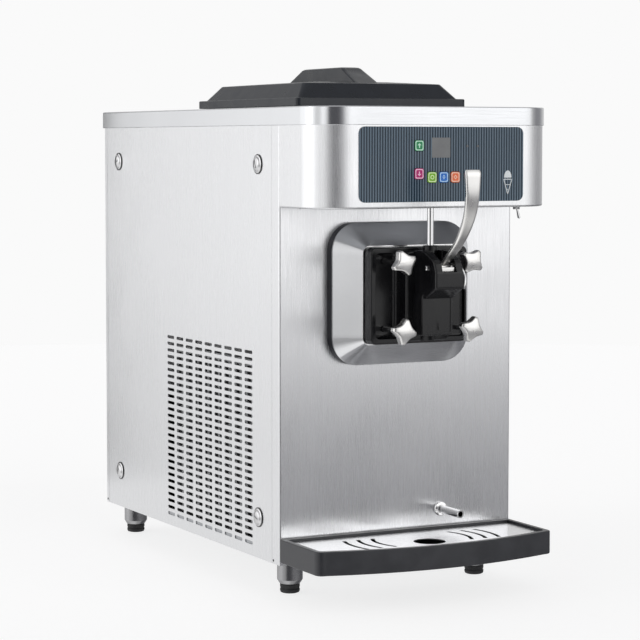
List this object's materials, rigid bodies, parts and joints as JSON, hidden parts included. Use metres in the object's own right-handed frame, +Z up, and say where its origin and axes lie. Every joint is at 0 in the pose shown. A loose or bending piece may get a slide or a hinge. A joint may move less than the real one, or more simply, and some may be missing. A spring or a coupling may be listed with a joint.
{
  "type": "soft-serve ice cream machine",
  "caption": "Countertop soft-serve ice cream machine in brushed steel, with a lidded hopper, a dispensing door with a draw lever, a control panel and a drip tray.",
  "frame": {"origin": "on the floor, under the centre of the bounding box", "axes": "+Z up, the controls and the outlet face -Y, +X to the right of someone facing the controls"},
  "size_m": [0.41, 0.9164, 0.793],
  "materials": {
    "steel_chassis": "mill finish",
    "brushed_steel_panel": "fine brushed grain",
    "satin_steel": "satin",
    "polished_steel": "polished",
    "satin_chrome": "satin",
    "overlay_film": "printed film with fine upright stripes",
    "circuit_board": "solder mask",
    "key_green": "moulded key",
    "key_magenta": "moulded key",
    "key_lime": "moulded key",
    "key_blue": "moulded key",
    "key_orange": "moulded key",
    "black_plastic": "glossy moulding",
    "grey_plastic": "satin moulding",
    "rubber": "matt",
    "cast_aluminium": "as cast",
    "black_paint": "semi-gloss paint"
  },
  "bodies": {
    "cabinet": {"chassis_frame": "steel_chassis", "front_panel": "brushed_steel_panel", "rear_panel": "brushed_steel_panel", "left_side_panel": "brushed_steel_panel", "right_side_panel": "brushed_steel_panel", "top_cover": "brushed_steel_panel", "head_fascia": "brushed_steel_panel", "control_overlay": "overlay_film", "control_board": "circuit_board", "door_bezel": "satin_steel", "freezer_door": "black_plastic", "door_gasket": "rubber", "lever_pin": "polished_steel", "drain_pipe": "polished_steel", "mix_hopper": "satin_steel", "freezing_cylinder": "satin_steel", "gearbox": "cast_aluminium", "drive_belt": "rubber", "beater_motor": "black_paint", "compressor": "black_paint", "condenser": "cast_aluminium", "fan_motor": "black_paint", "cord_gland": "black_plastic", "left_fastener_front_lower": "polished_steel", "left_fastener_front_upper": "polished_steel", "left_fastener_rear_lower": "polished_steel", "left_fastener_rear_upper": "polished_steel", "right_fastener_front_lower": "polished_steel", "right_fastener_front_upper": "polished_steel", "right_fastener_rear_lower": "polished_steel", "right_fastener_rear_upper": "polished_steel", "leg_sleeve_front_left": "polished_steel", "leg_sleeve_front_right": "polished_steel", "leg_sleeve_rear_left": "polished_steel", "leg_sleeve_rear_right": "polished_steel"},
    "lever": {"draw_lever": "satin_chrome"},
    "valve": {"draw_valve": "black_plastic", "switch_rod": "polished_steel"},
    "outlet_cap": {"nozzle_cap": "black_plastic"},
    "stirrer": {"beater": "polished_steel"},
    "driven_wheel": {"driven_pulley": "cast_aluminium"},
    "motor_wheel": {"motor_pulley": "cast_aluminium"},
    "fan": {"cooling_fan": "black_plastic"},
    "lid": {"hopper_lid": "grey_plastic"},
    "tray": {"drip_tray": "grey_plastic"},
    "grid": {"drip_tray_grid": "satin_steel"},
    "power_switch": {"power_switch_lever": "polished_steel"},
    "up_key": {"button_up": "key_green"},
    "down_key": {"button_down": "key_magenta"},
    "wash_key": {"button_wash": "key_lime"},
    "standby_key": {"button_standby": "key_blue"},
    "auto_key": {"button_auto": "key_orange"},
    "left_lower_knob": {"knob_left_lower": "satin_chrome"},
    "left_upper_knob": {"knob_left_upper": "satin_chrome"},
    "right_lower_knob": {"knob_right_lower": "satin_chrome"},
    "right_upper_knob": {"knob_right_upper": "satin_chrome"},
    "front_left_foot": {"leg_pad_front_left": "rubber"},
    "front_right_foot": {"leg_pad_front_right": "rubber"},
    "rear_left_foot": {"leg_pad_rear_left": "rubber"},
    "rear_right_foot": {"leg_pad_rear_right": "rubber"}
  },
  "joints": [
    {"name": "lever_pull", "type": "hinge", "parent": "cabinet", "child": "lever", "pos_m": [0, -0.36475, 0.4935], "axis": [1, 0, 0], "range_deg": [0, 38], "stiffness_Nm_per_rad": 0.9},
    {"name": "valve_lift", "type": "slide", "parent": "cabinet", "child": "valve", "axis": [0, 0, 1], "range_m": [0, 0.0185]},
    {"name": "outlet_cap_turn", "type": "hinge", "parent": "cabinet", "child": "outlet_cap", "pos_m": [0, -0.33375, 0.395], "axis": [0, 0, 1], "continuous": true},
    {"name": "beater_spin", "type": "hinge", "parent": "cabinet", "child": "stirrer", "pos_m": [0, -0.08775, 0.451], "axis": [0, 1, 0], "continuous": true},
    {"name": "driven_pulley_spin", "type": "hinge", "parent": "cabinet", "child": "driven_wheel", "pos_m": [0, 0.17825, 0.451], "axis": [0, 1, 0], "continuous": true},
    {"name": "motor_pulley_spin", "type": "hinge", "parent": "cabinet", "child": "motor_wheel", "pos_m": [0.075, 0.17825, 0.2], "axis": [0, 1, 0], "continuous": true},
    {"name": "fan_spin", "type": "hinge", "parent": "cabinet", "child": "fan", "pos_m": [-0.135, 0.01425, 0.192], "axis": [1, 0, 0], "continuous": true},
    {"name": "lid_lift", "type": "slide", "parent": "cabinet", "child": "lid", "axis": [0, 0, 1], "range_m": [0, 0.15]},
    {"name": "tray_pull", "type": "slide", "parent": "cabinet", "child": "tray", "axis": [0, -1, 0], "range_m": [0, 0.16]},
    {"name": "grid_lift", "type": "slide", "parent": "tray", "child": "grid", "axis": [0, 0, 1], "range_m": [0, 0.02]},
    {"name": "power_switch_flip", "type": "hinge", "parent": "cabinet", "child": "power_switch", "pos_m": [0.1656, -0.30775, 0.581], "axis": [0, 1, 0], "range_deg": [0, 29]},
    {"name": "up_key_press", "type": "slide", "parent": "cabinet", "child": "up_key", "axis": [0, 1, 0], "range_m": [0, 0.001], "stiffness_N_per_m": 300},
    {"name": "down_key_press", "type": "slide", "parent": "cabinet", "child": "down_key", "axis": [0, 1, 0], "range_m": [0, 0.001], "stiffness_N_per_m": 300},
    {"name": "wash_key_press", "type": "slide", "parent": "cabinet", "child": "wash_key", "axis": [0, 1, 0], "range_m": [0, 0.001], "stiffness_N_per_m": 300},
    {"name": "standby_key_press", "type": "slide", "parent": "cabinet", "child": "standby_key", "axis": [0, 1, 0], "range_m": [0, 0.001], "stiffness_N_per_m": 300},
    {"name": "auto_key_press", "type": "slide", "parent": "cabinet", "child": "auto_key", "axis": [0, 1, 0], "range_m": [0, 0.001], "stiffness_N_per_m": 300},
    {"name": "left_lower_knob_turn", "type": "hinge", "parent": "cabinet", "child": "left_lower_knob", "pos_m": [-0.059, -0.35275, 0.4015], "axis": [0, -1, 0], "continuous": true},
    {"name": "left_upper_knob_turn", "type": "hinge", "parent": "cabinet", "child": "left_upper_knob", "pos_m": [-0.059, -0.35275, 0.5015], "axis": [0, -1, 0], "continuous": true},
    {"name": "right_lower_knob_turn", "type": "hinge", "parent": "cabinet", "child": "right_lower_knob", "pos_m": [0.055, -0.35275, 0.4015], "axis": [0, -1, 0], "continuous": true},
    {"name": "right_upper_knob_turn", "type": "hinge", "parent": "cabinet", "child": "right_upper_knob", "pos_m": [0.055, -0.35275, 0.5015], "axis": [0, -1, 0], "continuous": true},
    {"name": "front_left_foot_turn", "type": "hinge", "parent": "cabinet", "child": "front_left_foot", "pos_m": [-0.162, -0.19575, 0.02], "axis": [0, 0, 1], "continuous": true},
    {"name": "front_right_foot_turn", "type": "hinge", "parent": "cabinet", "child": "front_right_foot", "pos_m": [0.162, -0.19575, 0.02], "axis": [0, 0, 1], "continuous": true},
    {"name": "rear_left_foot_turn", "type": "hinge", "parent": "cabinet", "child": "rear_left_foot", "pos_m": [-0.162, 0.40225, 0.02], "axis": [0, 0, 1], "continuous": true},
    {"name": "rear_right_foot_turn", "type": "hinge", "parent": "cabinet", "child": "rear_right_foot", "pos_m": [0.162, 0.40225, 0.02], "axis": [0, 0, 1], "continuous": true}
  ],
  "couplings": [
    {"joint": "valve_lift", "follows": "lever_pull", "m_per_rad": 0.02692},
    {"joint": "driven_pulley_spin", "follows": "beater_spin", "ratio": 3},
    {"joint": "motor_pulley_spin", "follows": "beater_spin", "ratio": 8.405}
  ]
}
